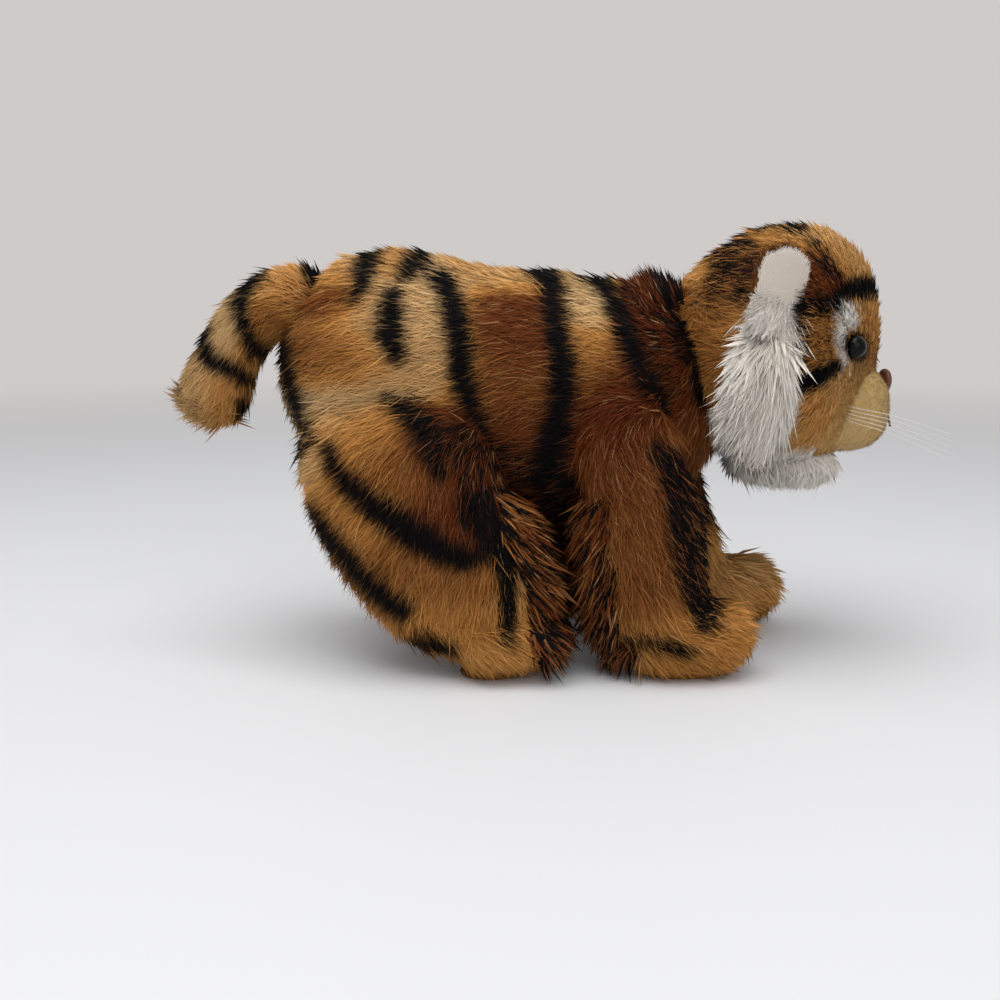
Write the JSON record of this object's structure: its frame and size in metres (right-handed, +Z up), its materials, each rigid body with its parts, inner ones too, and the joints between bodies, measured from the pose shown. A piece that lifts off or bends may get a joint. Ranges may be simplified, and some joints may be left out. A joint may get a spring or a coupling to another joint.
{
  "type": "plush tiger",
  "caption": "Stuffed toy tiger cub standing on four legs, long striped pile, short-pile muzzle, bead eyes, nylon whiskers; head, tail and legs give at their sewn seams.",
  "frame": {"origin": "on the ground, below the middle of the whole length from tail tip to whisker tips, on the cub's middle plane", "axes": "+X the way the cub looks, +Y its left side, +Z up"},
  "size_m": [0.2688, 0.1098, 0.1553],
  "materials": {
    "flank_plush": "matte",
    "rust_plush": "matte",
    "orange_plush": "matte",
    "white_plush": "matte",
    "short_plush": "matte",
    "fibre_fill": "matte",
    "eye_bead": "gloss",
    "washer_plastic": "satin",
    "nose_thread": "satin",
    "nylon_filament": "gloss"
  },
  "bodies": {
    "torso": {"belly_panel": "rust_plush", "body_skin_right": "flank_plush", "body_skin_left": "flank_plush", "body_stuffing": "fibre_fill"},
    "head": {"crown_gusset": "orange_plush", "head_skin_right": "orange_plush", "head_skin_left": "orange_plush", "head_stuffing": "fibre_fill", "eye_right": "eye_bead", "eye_left": "eye_bead", "eye_washer_right": "washer_plastic", "eye_washer_left": "washer_plastic", "muzzle_right": "short_plush", "muzzle_left": "short_plush", "nose": "nose_thread", "whisker_1": "nylon_filament", "whisker_2": "nylon_filament", "whisker_3": "nylon_filament", "whisker_4": "nylon_filament", "whisker_5": "nylon_filament", "chin_tuft": "white_plush", "cheek_ruff_right": "white_plush", "cheek_ruff_left": "white_plush", "ear_back_right": "orange_plush", "ear_back_left": "orange_plush", "ear_facing_right": "white_plush", "ear_facing_left": "white_plush"},
    "tail": {"tail_skin_right": "orange_plush", "tail_skin_left": "orange_plush", "tail_stuffing": "fibre_fill"},
    "front_leg_right": {"front_leg_right_outer_skin": "orange_plush", "front_leg_right_inner_skin": "orange_plush", "front_leg_right_stuffing": "fibre_fill", "front_leg_right_sole": "orange_plush"},
    "front_leg_left": {"front_leg_left_outer_skin": "orange_plush", "front_leg_left_inner_skin": "orange_plush", "front_leg_left_stuffing": "fibre_fill", "front_leg_left_sole": "orange_plush"},
    "hind_leg_right": {"hind_leg_right_outer_skin": "flank_plush", "hind_leg_right_inner_skin": "flank_plush", "hind_leg_right_stuffing": "fibre_fill", "hind_leg_right_sole": "flank_plush"},
    "hind_leg_left": {"hind_leg_left_outer_skin": "flank_plush", "hind_leg_left_inner_skin": "flank_plush", "hind_leg_left_stuffing": "fibre_fill", "hind_leg_left_sole": "flank_plush"}
  },
  "joints": [
    {"name": "head_nod", "type": "hinge", "parent": "torso", "child": "head", "pos_m": [0.08858, 0, 0.112], "axis": [0, 1, 0], "range_deg": [-15, 10], "stiffness_Nm_per_rad": 0.4},
    {"name": "tail_lift", "type": "hinge", "parent": "torso", "child": "tail", "pos_m": [-0.08442, 0, 0.127], "axis": [0, 1, 0], "range_deg": [-15, 25], "stiffness_Nm_per_rad": 0.15},
    {"name": "front_leg_right_swing", "type": "hinge", "parent": "torso", "child": "front_leg_right", "pos_m": [0.02458, -0.034, 0.095], "axis": [0, -1, 0], "range_deg": [-3, 15], "stiffness_Nm_per_rad": 0.6},
    {"name": "front_leg_left_swing", "type": "hinge", "parent": "torso", "child": "front_leg_left", "pos_m": [0.02458, 0.034, 0.095], "axis": [0, -1, 0], "range_deg": [-7, 4], "stiffness_Nm_per_rad": 0.6},
    {"name": "hind_leg_right_swing", "type": "hinge", "parent": "torso", "child": "hind_leg_right", "pos_m": [-0.05142, -0.034, 0.074], "axis": [0, -1, 0], "range_deg": [-20, 4], "stiffness_Nm_per_rad": 0.6},
    {"name": "hind_leg_left_swing", "type": "hinge", "parent": "torso", "child": "hind_leg_left", "pos_m": [-0.05142, 0.034, 0.074], "axis": [0, -1, 0], "range_deg": [-20, 4], "stiffness_Nm_per_rad": 0.6}
  ]
}
